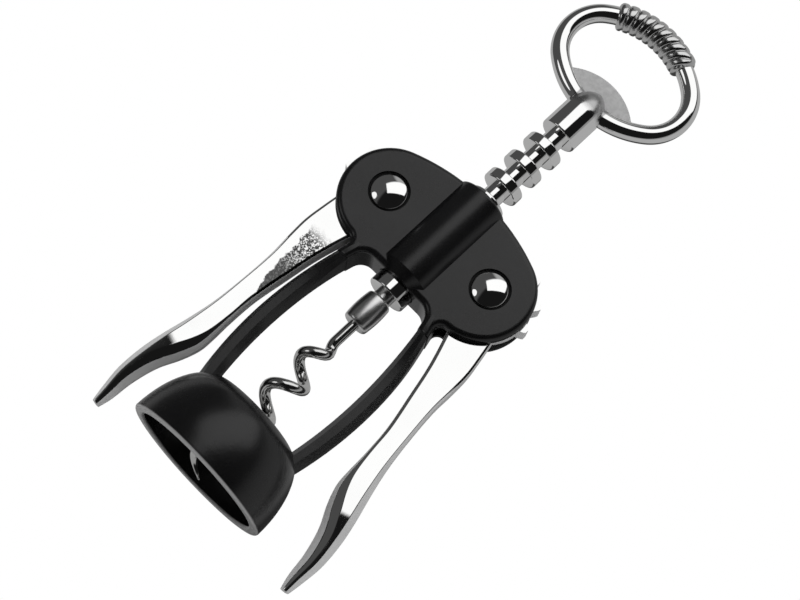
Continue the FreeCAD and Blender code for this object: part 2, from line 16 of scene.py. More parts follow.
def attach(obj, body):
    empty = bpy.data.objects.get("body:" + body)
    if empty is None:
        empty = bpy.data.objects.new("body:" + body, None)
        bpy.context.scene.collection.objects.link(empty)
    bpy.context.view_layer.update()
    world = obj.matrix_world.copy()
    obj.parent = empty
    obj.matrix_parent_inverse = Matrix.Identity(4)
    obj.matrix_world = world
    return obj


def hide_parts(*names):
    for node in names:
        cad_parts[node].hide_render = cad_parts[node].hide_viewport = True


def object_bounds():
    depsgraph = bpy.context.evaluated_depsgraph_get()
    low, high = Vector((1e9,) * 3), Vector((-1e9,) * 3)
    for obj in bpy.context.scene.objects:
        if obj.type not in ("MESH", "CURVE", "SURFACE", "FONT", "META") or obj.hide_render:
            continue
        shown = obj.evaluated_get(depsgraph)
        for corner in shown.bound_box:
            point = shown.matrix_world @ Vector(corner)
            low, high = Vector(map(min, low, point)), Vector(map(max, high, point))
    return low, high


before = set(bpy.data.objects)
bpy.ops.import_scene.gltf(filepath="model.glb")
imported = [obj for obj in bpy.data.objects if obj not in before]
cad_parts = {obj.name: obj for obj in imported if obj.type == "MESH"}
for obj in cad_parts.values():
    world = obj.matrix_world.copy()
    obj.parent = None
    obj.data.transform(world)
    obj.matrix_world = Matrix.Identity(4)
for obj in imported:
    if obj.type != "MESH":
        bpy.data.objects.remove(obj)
cad_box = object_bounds()

# %% [markdown]
# ## The camera
# The photograph looks at the corkscrew from a little below and a little to the right of its
# front, and holds it tilted across the picture. The camera's place was fitted to round things
# whose true shape is known, such as the bell's mouth and the rack's rings. It is built from
# the direction it looks in and the roll about that direction, so no object has to be turned.

# %% Place the camera
def aim_camera(place, yaw, tilt, roll, focal_length):
    """A camera at place that looks along +Y turned by yaw and raised by tilt, in degrees."""
    yaw, tilt, roll = (math.radians(angle) for angle in (yaw, tilt, roll))
    ahead = Vector((-math.sin(yaw) * math.cos(tilt), math.cos(yaw) * math.cos(tilt), math.sin(tilt)))
    level = Vector((math.cos(yaw), math.sin(yaw), 0.0))
    over = level.cross(ahead)
    right = level * math.cos(roll) + over * math.sin(roll)
    up = over * math.cos(roll) - level * math.sin(roll)
    camera = bpy.data.objects.new("camera", bpy.data.cameras.new("camera"))
    turn = Matrix((right, up, -ahead)).transposed()
    camera.matrix_world = Matrix.Translation(place) @ turn.to_4x4()
    camera.data.lens = focal_length
    camera.data.clip_start = 0.01
    bpy.context.scene.collection.objects.link(camera)
    return camera


camera = aim_camera(place=(0.08039, -0.45591, -0.06216), yaw=9.601, tilt=15.378, roll=47.148,
                    focal_length=88.44)
bpy.context.scene.camera = camera
print("camera at", tuple(round(v, 3) for v in camera.location))

# %% [markdown]
# ## Shader maths written as sums
# A finish is a small calculation: so much noise, so much wear, so much shine. Joining Math
# nodes by hand is slow to read, so one small class wraps a socket and lets it be added and
# multiplied like a number. Any other node comes from the same class's node method, which
# takes the node's type, what goes into its sockets, and its settings.

# %% A socket that can be calculated with
ACROSS, UP = (1.0, 0.0, 0.0), (0.0, 0.0, 1.0)


class Wire:
    """One output socket of a shader tree, with the sums that the finishes use."""

    def __init__(self, tree, socket=None):
        self.tree, self.socket = tree, socket

    def node(self, kind, values=(), out=0, **settings):
        """Any node: its settings first, then each socket's value or link; gives one output."""
        made = self.tree.nodes.new(kind)
        for key, value in settings.items():
            setattr(made, key, value)
        for key, value in dict(values).items():
            if isinstance(value, Wire):
                self.tree.links.new(value.socket, made.inputs[key])
            else:
                made.inputs[key].default_value = value
        return Wire(self.tree, made.outputs[out] if made.outputs else None)

    def other(self, out):
        """Another output of the node that this one comes from."""
        return Wire(self.tree, self.socket.node.outputs[out])

    def math(self, operation, *others):
        return self.node("ShaderNodeMath", enumerate((self,) + others), operation=operation)

    def __add__(self, other):
        return self.math("ADD", other)

    def __sub__(self, other):
        return self.math("SUBTRACT", other)

    def __mul__(self, other):
        return self.math("MULTIPLY", other)

    def __rsub__(self, other):
        return self.node("ShaderNodeMath", {0: other, 1: self}, operation="SUBTRACT")

    __radd__ = __add__
    __rmul__ = __mul__

    def most(self, other):
        return self.math("MAXIMUM", other)

    def step(self, low, high):
        """0 below low and 1 above high, with a soft rise between."""
        values = {"Value": self, "From Min": low, "From Max": high}
        return self.node("ShaderNodeMapRange", values, interpolation_type="SMOOTHSTEP")

    def dot(self, direction):
        values = {0: self, 1: direction}
        return self.node("ShaderNodeVectorMath", values, "Value", operation="DOT_PRODUCT")

    def length(self):
        """How far this place is from the origin."""
        return self.dot(self).math("SQRT")

    def noise(self, scale, detail=2.0):
        """Noise over this place, from 0 to 1 and mostly near 0.5."""
        values = {"Vector": self, "Scale": scale, "Detail": detail}
        return self.node("ShaderNodeTexNoise", values)

    def stretched(self, x, y, z):
        """This place with its three directions scaled apart, for marks that run one way."""
        return self.node("ShaderNodeVectorMath", {0: self, 1: (x, y, z)}, operation="MULTIPLY")

    def colours(self, first, second):
        """The first colour where this share is 0 and the second where it is 1."""
        first, second = (c if isinstance(c, Wire) else (*c, 1.0) for c in (first, second))
        return self.node("ShaderNodeMix", {0: self, 6: first, 7: second}, out=2, data_type="RGBA")


def shader_tree(data):
    data.use_nodes = True
    return data.node_tree


def object_place(tree):
    return Wire(tree).node("ShaderNodeTexCoord", out="Object")


def finish_material(name, base, rough, metallic=0.0, bump=None, bump_depth=0.0):
    """A Principled material; base, rough and bump are functions of the object's own place."""
    material = bpy.data.materials.new(name)
    tree = shader_tree(material)
    shader = tree.nodes["Principled BSDF"]
    place = object_place(tree)
    shader.inputs["Metallic"].default_value = metallic
    tree.links.new(base(place).socket, shader.inputs["Base Color"])
    tree.links.new(rough(place).socket, shader.inputs["Roughness"])
    if bump:
        normal = place.node("ShaderNodeBump", {"Height": bump(place), "Distance": bump_depth})
        tree.links.new(normal.socket, shader.inputs["Normal"])
    return material


print("shader helpers ready")

# %% [markdown]
# ## The studio
# Polished metal shows the room. The photograph's room is a dark grey tent with one bright
# window, and it could be an image or a box of lamps. Here it is a calculation on directions:
# the edge of a window or of a wall is a plane through the eye, and a spot is a cone. That
# way each edge can be moved until its reflection lies where the photograph shows it.

# %% Directions in the room
def direction(azimuth, elevation):
    """Unit vector; azimuth runs from the front (-Y) towards +X, elevation up from level."""
    azimuth, elevation = math.radians(azimuth), math.radians(elevation)
    return Vector((math.sin(azimuth) * math.cos(elevation),
                   -math.cos(azimuth) * math.cos(elevation), math.sin(elevation)))


def left_of(first, second):
    """Normal of the plane through the eye and two directions, positive on the line's left."""
    return tuple(direction(*first).cross(direction(*second)).normalized())


def scene_object(name, data, *materials):
    made = bpy.data.objects.new(name, data)
    for material in materials:
        data.materials.append(material)
    bpy.context.scene.collection.objects.link(made)
    return made


print("directions ready, the front is", tuple(direction(0, 0)))

# %% [markdown]
# ## The grey tent with its window
# The tent is a large sphere that gives light only to reflections. Its window has four straight
# edges, which lie aslant because the corkscrew was held aslant in front of it. Around the
# camera and right of it the wall is darkest. Far out on both sides and overhead on the left
# it is paler. One small patch low on the left is nearly as bright as the window, and behind
# the corkscrew lies the table's dark end.

# %% Tent
WINDOW_LIGHT, WALL_LIGHT, DARK_WALL_LIGHT = 1.06, 0.065, 0.008
FAR_RIGHT_LIGHT, FAR_LEFT_LIGHT, OVERHEAD_LIGHT, TABLE_END_SHADE = 0.26, 0.40, 0.36, 0.85


def upright_edge(toward, azimuth):
    """How far a direction lies left of an upright edge at this azimuth."""
    return toward.dot(left_of((azimuth, -60), (azimuth, 60)))


def tent_window(toward):
    tip, left_corner, right_corner = (-8, 3.4), (-36, 24), (45, 43)
    top_left, top_right = (-25, 55), (52, 80)
    window = toward.dot(left_of(left_corner, tip)).step(-0.02, 0.02)
    window = window * toward.dot(left_of(tip, right_corner)).step(-0.02, 0.02)
    window = window * toward.dot(left_of(top_left, left_corner)).step(-0.1, 0.02)
    return window * toward.dot(left_of(right_corner, top_right)).step(-0.02, 0.02)


def tent_brightness(toward):
    window = tent_window(toward)
    far_right = upright_edge(toward, 64).step(0.02, -0.02)
    far_left = upright_edge(toward, -106).step(-0.02, 0.02)
    dark_side = upright_edge(toward, -18).step(0.1, -0.1)
    overhead = toward.dot(UP).step(0.80, 0.92) * toward.dot(ACROSS).step(0.1, -0.1)
    patch = toward.dot(tuple(direction(-46, -30))).step(0.976, 0.981)
    table_end = toward.dot(tuple(direction(163, -4))).step(0.86, 0.93)
    walls = WALL_LIGHT - dark_side * (WALL_LIGHT - DARK_WALL_LIGHT)
    walls = walls.most(far_right * FAR_RIGHT_LIGHT).most(far_left * FAR_LEFT_LIGHT)
    walls = walls.most(overhead * OVERHEAD_LIGHT) * (1.0 - table_end * TABLE_END_SHADE)
    return (walls * (1.0 - window) + window * WINDOW_LIGHT).most(patch)


def add_tent(radius):
    material = bpy.data.materials.new("tent")
    tree = shader_tree(material)
    tree.nodes.clear()
    place = object_place(tree)
    toward = place.node("ShaderNodeVectorMath", {0: place}, operation="NORMALIZE")
    glow = toward.node("ShaderNodeEmission", {"Strength": tent_brightness(toward)})
    toward.node("ShaderNodeOutputMaterial", {"Surface": glow})
    bm = bmesh.new()
    bmesh.ops.create_uvsphere(bm, u_segments=48, v_segments=24, radius=radius)
    mesh = bpy.data.meshes.new("tent")
    bm.to_mesh(mesh)
    bm.free()
    tent = scene_object("tent", mesh, material)
    tent.visible_camera = tent.visible_diffuse = tent.visible_shadow = False
    tent.visible_transmission = tent.visible_volume_scatter = False


add_tent(3.0)
print("tent in place")

# %% [markdown]
# ## Floor, lamp and background
# The photograph's background is plain white. The camera looks up from below, where a plain
# floor would hide the bell. So this floor is pale on top, where the corkscrew's shadow falls,
# and clear from underneath, and it fades into the white background all round. A soft lamp
# stands to the upper left, and the world is white for the camera and a little dimmer as a light.

# %% Floor, lamp and white background
def floor_material():
    material = bpy.data.materials.new("floor")
    tree = shader_tree(material)
    shader = tree.nodes["Principled BSDF"]
    shader.inputs["Roughness"].default_value = 0.9
    place = object_place(tree)
    paper = place.noise(40.0).colours((0.89, 0.89, 0.89), (0.91, 0.91, 0.91))
    tree.links.new(paper.socket, shader.inputs["Base Color"])
    pale = Wire(tree, shader.outputs[0])
    glow = pale.node("ShaderNodeEmission", {"Strength": 0.12})
    lit = pale.node("ShaderNodeAddShader", {0: pale, 1: glow})
    path = pale.node("ShaderNodeLightPath", out="Is Camera Ray")
    seen = pale.node("ShaderNodeMixShader", {0: path, 1: pale, 2: lit})
    below = pale.node("ShaderNodeNewGeometry", out="Backfacing")
    clear = pale.node("ShaderNodeBsdfTransparent")
    faded = place.length().step(0.25, 0.75)
    both = pale.node("ShaderNodeMixShader", {0: below.most(faded), 1: seen, 2: clear})
    tree.links.new(both.socket, tree.nodes["Material Output"].inputs["Surface"])
    return material


def add_floor(height, size):
    bm = bmesh.new()
    bmesh.ops.create_grid(bm, x_segments=1, y_segments=1, size=size / 2)
    bmesh.ops.translate(bm, verts=bm.verts, vec=(0, 0, height))
    mesh = bpy.data.meshes.new("floor")
    bm.to_mesh(mesh)
    bm.free()
    floor = scene_object("floor", mesh, floor_material())
    floor.visible_glossy = False


def add_lamp(place, size, power):
    light = bpy.data.lights.new("softbox", "AREA")
    light.size = size
    light.energy = power
    lamp = bpy.data.objects.new("softbox", light)
    aim = (-Vector(place)).to_track_quat("-Z", "Y").to_matrix().to_4x4()
    lamp.matrix_world = Matrix.Translation(place) @ aim
    lamp.visible_glossy = False
    bpy.context.scene.collection.objects.link(lamp)


def white_background():
    world = bpy.data.worlds.new("studio")
    bpy.context.scene.world = world
    tree = shader_tree(world)
    seen = Wire(tree).node("ShaderNodeLightPath", out="Is Camera Ray")
    seen = seen.most(seen.other("Is Glossy Ray")).most(seen.other("Is Transmission Ray"))
    background = tree.nodes["Background"].inputs
    tree.links.new((seen * 0.25 + 0.75).socket, background["Strength"])
    background["Color"].default_value = (1.0, 1.0, 1.0, 1.0)


LOWEST_POINT = cad_box[0][2]
add_floor(height=LOWEST_POINT - 0.0002, size=1.6)
add_lamp(place=(-0.35, -0.45, 0.75), size=0.5, power=3.0)
white_background()
bpy.context.scene.view_settings.view_transform = "Standard"
print("floor at", round(LOWEST_POINT, 4))

# %% [markdown]
# ## The black enamel
# The frame is a die casting under a satin black enamel. The enamel is nearly black itself, so
# almost all that is seen of it is a soft, weak reflection. Small differences in its roughness
# and a very fine orange peel keep that reflection from looking like plastic film. The bell's
# rim is painted a lighter grey there, a painted highlight for the light its underside catches, and it
# is told apart by its height alone.

# %% Black enamel
MM = 0.001
PIVOT_X, PIVOT_Z, RECESS_RADIUS = 17.4, 81.2, 5.3


def enamel_colour(place):
    clouds = place.noise(60.0, 3.0).step(0.35, 0.7)
    specks = place.noise(2600.0, 1.0).step(0.70, 0.78) * 0.25
    shade = clouds.colours((0.003, 0.003, 0.0032), (0.005, 0.005, 0.0053))
    # Painted highlight: the rim's foot is painted a lighter grey for the light that it catches.
    painted_rim_light = place.dot(UP).step(0.0007, 0.0002)
    return painted_rim_light.colours(specks.colours(shade, (0.04, 0.04, 0.04)), (0.30, 0.30, 0.30))


def pin_recess(place):
    """1 in the narrow sunk rings around the pins' heads, where the enamel lies dull."""
    across = place.dot(ACROSS).math("ABSOLUTE") - PIVOT_X * MM
    high = place.dot(UP) - PIVOT_Z * MM
    off_pin = (across * across + high * high).math("SQRT")
    return off_pin.step(RECESS_RADIUS * MM, (RECESS_RADIUS - 0.06) * MM)


def enamel_roughness(place):
    sheen = place.noise(90.0, 3.0) * 0.06 + place.noise(900.0) * 0.05 + 0.205
    return sheen + pin_recess(place) * 0.5


def enamel_peel(place):
    return place.noise(1400.0)


black_enamel = finish_material("black_enamel", enamel_colour, enamel_roughness,
                               bump=enamel_peel, bump_depth=0.000012)
print("made", black_enamel.name)

# %% [markdown]
# ## The polished castings
# Levers, handle, rack and pins are zinc castings, buffed and then plated. Plating follows
# every small wave that the buffing wheel left, so long reflections wander a little, and where
# the buffing was light the surface keeps a fine orange peel. A flat mirror would look false,
# so both go into the bump, and smears of polish change the roughness a little.

# %% Polished plating
def plate_colour(place):
    return place.noise(70.0).colours((0.90, 0.90, 0.895), (0.955, 0.955, 0.95))


def plate_roughness(place):
    return place.noise(160.0, 3.0).step(0.4, 0.8) * 0.05 + 0.035


def plate_waves(place):
    return place.noise(120.0, 1.0) + place.noise(900.0) * 0.05


def plated(name, colour, roughness, waves=plate_waves):
    return finish_material(name, colour, roughness, metallic=1.0, bump=waves, bump_depth=0.00004)


polished_plate = plated("polished_plate", plate_colour, plate_roughness)
print("made", polished_plate.name)

# %% [markdown]
# ## Where the buffing wheel could not reach
# The wheel polished the handle's ring and the collar's side, but not the collar's dome under
# the ring, nor the grooves of the grip. There the plating is greyer and duller. The dome is
# told apart by its height and its distance from the axis, both in object coordinates.

# %% Plating of the collar's dome and of the grip
def collar_dome(place):
    off_axis = place.stretched(1.0, 1.0, 0.0).length()
    return place.dot(UP).step(0.1328, 0.1338) * off_axis.step(0.0054, 0.0050)


def collar_colour(place):
    return collar_dome(place).colours(plate_colour(place), (0.50, 0.50, 0.50))


def collar_roughness(place):
    return plate_roughness(place) + collar_dome(place) * 0.26


def grip_colour(place):
    return place.noise(500.0, 3.0).colours((0.60, 0.60, 0.60), (0.74, 0.74, 0.735))


def grip_roughness(place):
    return place.noise(700.0, 3.0) * 0.12 + 0.13


collar_plate = plated("collar_plate", collar_colour, collar_roughness)
grip_plate = plated("grip_plate", grip_colour, grip_roughness)
print("made", collar_plate.name, "and", grip_plate.name)

# %% [markdown]
# ## The left lever's light buffing
# The upper half of the left lever was buffed lightly: there its plating is pebbled, and each
# pebble throws back a bit of the dark room. The patch is a wedge that narrows downwards, with
# single grains above and an almost even grey below. Bumps alone would mirror too much of the
# white window at this size, so that reflection of the dark room is painted into the colour as painted
# reflection.

# %% Pebbled plating
PATCH_MIDDLE_X = -21.0


def pebble_patch(place):
    """How strong the pebbles are: a long wedge on the left lever, wide at its upper end."""
    ragged = place.noise(500.0, 3.0) * 0.0024 - 0.0012
    across = (place.dot(ACROSS) - PATCH_MIDDLE_X * MM).math("ABSOLUTE")
    high = place.dot(UP)
    half_width = (high * 0.083 - 0.0017).math("MINIMUM", high * 0.31 - 0.0121)
    inside = half_width - across + ragged
    return inside.step(-0.0002, 0.0002) * (high + ragged).step(0.0635, 0.0590)


# Painted reflection: the dark room that the pebbles mirror is painted as a nearly black base colour,
# in single grains above and an almost even dark grey below.
def pebble_painted_reflection(place):
    lower = place.dot(UP).step(0.058, 0.047)
    grains = place.noise(2600.0).step(0.63, 0.47)
    single_grains, even_grey = grains * 0.96, grains * 0.08 + 0.86
    share = single_grains * (1.0 - lower) + even_grey * lower
    return (pebble_patch(place) * share).colours(plate_colour(place), (0.02, 0.02, 0.02))


def pebble_height(place):
    return plate_waves(place) + place.noise(2200.0) * pebble_patch(place) * 0.6


pebbled_plate_painted_reflection = plated("pebbled_plate_painted_reflection", pebble_painted_reflection, plate_roughness, waves=pebble_height)
print("made", pebbled_plate_painted_reflection.name)

# %% [markdown]
# ## The levers' sides
# Only the faces of a lever meet the buffing wheel squarely. Its sides and its teeth keep the
# pale satin skin of the casting, so they look grey from every side instead of mirroring. They
# take a second material on the same mesh, given out by the direction in which a face looks.

# %% Satin sides
def side_colour(place):
    skin = place.stretched(1.0, 1.0, 0.25).noise(500.0, 3.0)
    return skin.colours((0.52, 0.52, 0.52), (0.66, 0.66, 0.66))


def side_roughness(place):
    return place.noise(800.0, 3.0) * 0.12 + 0.34


satin_sides = finish_material("satin_sides", side_colour, side_roughness, metallic=0.3)
print("made", satin_sides.name)

# %% [markdown]
# ## Steel and the cap lifter's matte face
# The ferrule is a turned sleeve with a satin surface, the worm is bright steel wire, and the
# cap lifter's flat web was left as it came from the tumbler, grey and matt. Turning leaves
# fine rings, so the sleeve's bump comes from noise that is squeezed along its axis.

# %% Satin sleeve, worm wire and tumbled web
def satin_colour(place):
    return place.noise(500.0, 3.0).colours((0.78, 0.78, 0.78), (0.88, 0.88, 0.87))


def satin_roughness(place):
    return place.noise(1200.0, 3.0) * 0.10 + 0.25


def turning_rings(place):
    return place.stretched(0.2, 0.2, 4.0).noise(1800.0)


def wire_colour(place):
    return place.noise(400.0, 3.0).colours((0.62, 0.62, 0.61), (0.78, 0.78, 0.77))


def wire_roughness(place):
    return place.noise(700.0, 3.0) * 0.10 + 0.10


def web_colour(place):
    return place.noise(900.0, 4.0).step(0.3, 0.7).colours((0.58, 0.58, 0.58), (0.68, 0.68, 0.68))


def web_roughness(place):
    return place.noise(600.0, 3.0) * 0.10 + 0.50


def fine_grain(place):
    return place.noise(3000.0, 3.0)


satin_sleeve = finish_material("satin_sleeve", satin_colour, satin_roughness, metallic=1.0,
                               bump=turning_rings, bump_depth=0.000001)
worm_wire = finish_material("worm_wire", wire_colour, wire_roughness, metallic=1.0,
                            bump=fine_grain, bump_depth=0.000001)
tumbled_web = finish_material("tumbled_web", web_colour, web_roughness, metallic=0.8,
                              bump=fine_grain, bump_depth=0.00001)
print("made", satin_sleeve.name, worm_wire.name, tumbled_web.name)

# %% [markdown]
# ## Turned pieces
# Most pieces here were turned on a lathe or cast in a two-part mould. A turned piece could be
# stacked from cylinders and cones. Here it is one half profile spun once around its axis, as
# on a lathe, because its corners can then be rounded before the spin, and no seam is left.

# %% Profile and spin
def profile(bm, points):
    """A chain of vertices and edges in the XZ plane from (radius, height) points."""
    verts = [bm.verts.new((x, 0.0, z)) for x, z in points]
    for pair in zip(verts, verts[1:]):
        bm.edges.new(pair)
    return verts


def rounded(bm, verts, radius, segments=4):
    """Rounds the corners of a profile or outline before it is spun or extruded."""
    bmesh.ops.bevel(bm, geom=verts, offset=radius, segments=segments, profile=0.5,
                    affect="VERTICES", material=-1)


def lathe(bm, steps=96):
    """Spins the whole profile once around Z and closes its poles."""
    bmesh.ops.spin(bm, geom=bm.verts[:] + bm.edges[:], cent=(0, 0, 0), axis=(0, 0, 1),
                   dvec=(0, 0, 0), angle=2 * math.pi, steps=steps, use_merge=True)
    bmesh.ops.remove_doubles(bm, verts=bm.verts, dist=1e-5)


def arc_points(centre, radius, start, end, count):
    """Points on an arc in the XZ plane; angles in degrees, from +X towards +Z."""
    turns = [math.radians(start + (end - start) * i / count) for i in range(count + 1)]
    return [(centre[0] + radius * math.cos(t), centre[1] + radius * math.sin(t)) for t in turns]


print("profile, rounded, lathe and arc_points ready")

# %% [markdown]
# ## Finishing a piece
# Every piece is modelled in millimetres, because that is how its sizes are known, and scaled
# to metres when it is done. It then rides on the body it moves with and stands for its plain
# CAD node. Weighted normals keep the large faces flat to the eye, so that only the small
# rounded edges between them bend a reflection.

# %% Finished piece
def finished(name, bm, materials, body, slot_name, *nodes, smooth_angle=35.0):
    bmesh.ops.scale(bm, verts=bm.verts, vec=(MM, MM, MM))
    bmesh.ops.recalc_face_normals(bm, faces=bm.faces)
    for edge in bm.edges:
        edge.smooth = edge.calc_face_angle(0.0) < math.radians(smooth_angle)
    for face in bm.faces:
        face.smooth = True
    mesh = bpy.data.meshes.new(name)
    bm.to_mesh(mesh)
    bm.free()
    piece = scene_object(name, mesh, *materials)
    even = piece.modifiers.new("even_normals", "WEIGHTED_NORMAL")
    even.keep_sharp = True
    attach(piece, body)
    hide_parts(*nodes)
    print(name, "faces", len(mesh.polygons))


print("every piece is scaled by", MM)

# %% [markdown]
# ## The levers
# Each lever is one casting: a toothed disc inside the frame and a long flat-faced arm that
# tapers, swells and ends in a thumb rest. The arm could be a subdivided box, but its faces
# must stay flat and its edges crisp. So it is a row of ten-cornered outlines, and a smooth
# curve through a few stations below the pivot gives the sizes of each.

# %% Stations of the arm
# Each row: distance below the pivot; inner side; inner bevel's end; facet's end, where the flat
# face begins; the face's end; outer side; then half depths of face, inner side and outer side.
ARM_STATIONS = [
    (6, -3.8, -3.68, -2.93, 7.0, 7.55, 2.9, 2.4, 2.6),
    (15, -2.8, -2.68, -1.93, 7.05, 7.6, 2.9, 2.4, 2.6),
    (20, -2.15, -2.03, -1.28, 6.9, 7.45, 2.9, 2.4, 2.6),
    (25, -1.7, -1.58, -0.83, 6.15, 6.7, 2.9, 2.4, 2.5),
    (32, -1.5, -1.38, -0.63, 4.85, 5.4, 2.9, 2.4, 2.0),
    (42, -1.35, -1.15, -0.45, 3.9, 4.55, 2.9, 2.2, 1.2),
    (50, -2.15, -1.75, -1.15, 3.35, 4.3, 2.9, 1.9, 0.6),
    (56, -3.1, -2.4, -1.3, 3.3, 4.55, 2.9, 1.5, 0.35),
    (60, -3.5, -2.5, -0.6, 3.4, 4.85, 2.9, 1.1, 0.35),
    (65, -2.75, -1.35, 1.0, 3.65, 5.25, 2.9, 0.6, 0.35),
    (71, -1.05, 0.7, 2.6, 3.75, 5.38, 2.55, 0.3, 0.35),
    (78, -0.4, 1.35, 2.5, 3.35, 4.72, 2.2, 0.3, 0.35),
    (84, -0.65, 0.6, 1.4, 1.97, 3.07, 1.8, 0.3, 0.35),
    (87.6, -0.35, 0.35, 0.8, 1.26, 1.86, 1.2, 0.3, 0.35),
]
FACET_FALL = 0.2


def station_at(drawn):
    """The outline's sizes at any distance, on a smooth curve through the stations."""
    i = max(k for k in range(len(ARM_STATIONS) - 1) if ARM_STATIONS[k][0] <= drawn)
    before, here = ARM_STATIONS[max(i - 1, 0)], ARM_STATIONS[i]
    there, after = ARM_STATIONS[i + 1], ARM_STATIONS[min(i + 2, len(ARM_STATIONS) - 1)]
    span = there[0] - here[0]
    t = (drawn - here[0]) / span
    sizes = []
    for a, b, c, d in zip(before[1:], here[1:], there[1:], after[1:]):
        slope_b = (c - a) / (there[0] - before[0]) * span
        slope_c = (d - b) / (after[0] - here[0]) * span
        sizes.append(b * (1 + 2 * t) * (1 - t) ** 2 + slope_b * t * (1 - t) ** 2
                     + c * (3 - 2 * t) * t ** 2 + slope_c * (t - 1) * t ** 2)
    return sizes


def outline_loop(bm, drawn):
    inner, bevel_end, face_in, face_out, outer, half, inner_side, outer_side = station_at(drawn)
    facet = half - FACET_FALL * (face_in - bevel_end)
    corners = [(outer, outer_side), (face_out, half), (face_in, half), (bevel_end, facet),
               (inner, inner_side)]
    corners += [(x, -y) for x, y in reversed(corners)]
    verts = [bm.verts.new((x, y, -drawn)) for x, y in corners]
    return verts, [bm.edges.new((verts[i], verts[i - 1])) for i in range(len(verts))]


print("arm from", ARM_STATIONS[0][0], "to", ARM_STATIONS[-1][0], "mm below the pivot")

# %% [markdown]
# ## The arm
# The outlines stand close together along the arm. Bridge faces join each to the next, two
# faces close the ends, and a bevel rounds the lengthwise edges and the tip's edge, as buffing
# does. A loft made this way keeps the long edges in line with the flow of the arm.

# %% Arm
ARM_ROWS, ARM_EDGE_ROUND = 60, 0.24


def add_arm(bm):
    """The arm as a closed, bevelled loft."""
    top, tip = ARM_STATIONS[0][0], ARM_STATIONS[-1][0]
    drawn = [top + (tip - top) * i / ARM_ROWS for i in range(ARM_ROWS)] + [tip]
    loops = [outline_loop(bm, d) for d in drawn]
    for (_, first), (_, second) in zip(loops, loops[1:]):
        bmesh.ops.bridge_loops(bm, edges=first + second)
    for verts, _ in (loops[0], loops[-1]):
        bmesh.ops.contextual_create(bm, geom=verts)
    rows = {v: i for i, (verts, _) in enumerate(loops) for v in verts}
    lengthwise = [e for e in bm.edges if rows[e.verts[0]] != rows[e.verts[1]]]
    tip_rim = [e for e in bm.edges if rows[e.verts[0]] == rows[e.verts[1]] == len(loops) - 1]
    bmesh.ops.bevel(bm, geom=lengthwise + tip_rim, offset=ARM_EDGE_ROUND, segments=3, profile=0.5,
                    affect="EDGES", material=-1, clamp_overlap=True)


print("arm rows", ARM_ROWS)

# %% [markdown]
# ## The gear
# The lever's head is a disc with eight teeth that mesh with the rack's rings. The disc and one
# flat tooth outline, turned to eight places, are laid down on the back plane and extruded to
# the gear's thickness. One tooth stands in a groove of the rack and the others follow from it.
# They could be boxes, but the real flanks lean and the tips are round.

# %% Gear
def turned_forward(angle, size=4):
    """A turn about the pivot's axis, anticlockwise as seen from the front."""
    return Matrix.Rotation(math.radians(angle), size, Vector((0, -1, 0)))


def extruded(bm, face, depth):
    """Draws a flat face out along Y to a closed solid."""
    risen = bmesh.ops.extrude_face_region(bm, geom=[face])["geom"]
    far = [v for v in risen if isinstance(v, bmesh.types.BMVert)]
    bmesh.ops.translate(bm, verts=far, vec=(0, depth, 0))


GEAR_ROOT, GEAR_TIP, FLANK_END, GEAR_HALF_DEPTH = 11.6165, 13.3, 12.8, 2.8
TOOTH_COUNT, TOOTH_STEP, MESH_ANGLE, TOOTH_FOOT = 8, 31.2, 175.25, 10.1
TOOTH_OUTLINE = [(TOOTH_FOOT, -1.5), (GEAR_ROOT, -1.5), (FLANK_END, -0.9), (GEAR_TIP, -0.5),
                 (GEAR_TIP, 0.5), (FLANK_END, 0.9), (GEAR_ROOT, 1.5), (TOOTH_FOOT, 1.5)]


def add_gear(bm):
    """The disc around the pin and its eight rounded teeth."""
    upright = Matrix.Translation((0, -GEAR_HALF_DEPTH, 0)) @ Matrix.Rotation(math.radians(90), 4, "X")
    disc = bmesh.ops.create_circle(bm, cap_ends=True, segments=72, radius=GEAR_ROOT, matrix=upright)
    faces = list({f for v in disc["verts"] for f in v.link_faces})
    for i in range(TOOTH_COUNT):
        turn = turned_forward(MESH_ANGLE + TOOTH_STEP * (1 - i))
        verts = [bm.verts.new(turn @ Vector((out, -GEAR_HALF_DEPTH, up))) for out, up in TOOTH_OUTLINE]
        faces.append(bm.faces.new(verts))
    for face in faces:
        extruded(bm, face, 2 * GEAR_HALF_DEPTH)


print("gear teeth", TOOTH_COUNT)

# %% [markdown]
# ## Both levers
# Left and right are castings of one shape, so one lever is built at the right pivot and, for
# the left one, mirrored by a negative scale. They rest at slightly different angles, as in the
# photograph. Faces that look to the front or back are buffed and all others are satin.

# %% Levers
BUFFED_LIMIT = 0.74


def add_lever(name, face_material, rest_angle, side):
    """side is 1 for the right lever and -1 for the left one."""
    bm = bmesh.new()
    add_arm(bm)
    add_gear(bm)
    bmesh.ops.recalc_face_normals(bm, faces=bm.faces)
    for face in bm.faces:
        face.material_index = int(abs(face.normal.y) < BUFFED_LIMIT)
    bmesh.ops.rotate(bm, verts=bm.verts, cent=(0, 0, 0), matrix=turned_forward(rest_angle, 3))
    bmesh.ops.translate(bm, verts=bm.verts, vec=(PIVOT_X, 0, PIVOT_Z))
    bmesh.ops.scale(bm, verts=bm.verts, vec=(side, 1, 1))
    finished(name, bm, [face_material, satin_sides], name, "polished_casting", name)


add_lever("lever_left", pebbled_plate_painted_reflection, rest_angle=6.65, side=-1)
add_lever("lever_right", polished_plate, rest_angle=11.1, side=1)

# %% [markdown]
# ## The rack and its end ring
# The rack is a round bar with rings turned on it, which mesh with the levers however the bar
# is turned. It is one half profile spun around the axis: up the outside, ring by ring, and
# down the bore. Buffing rounds the rings' edges, and here a bevel on the profile's corners
# does it before the spin.

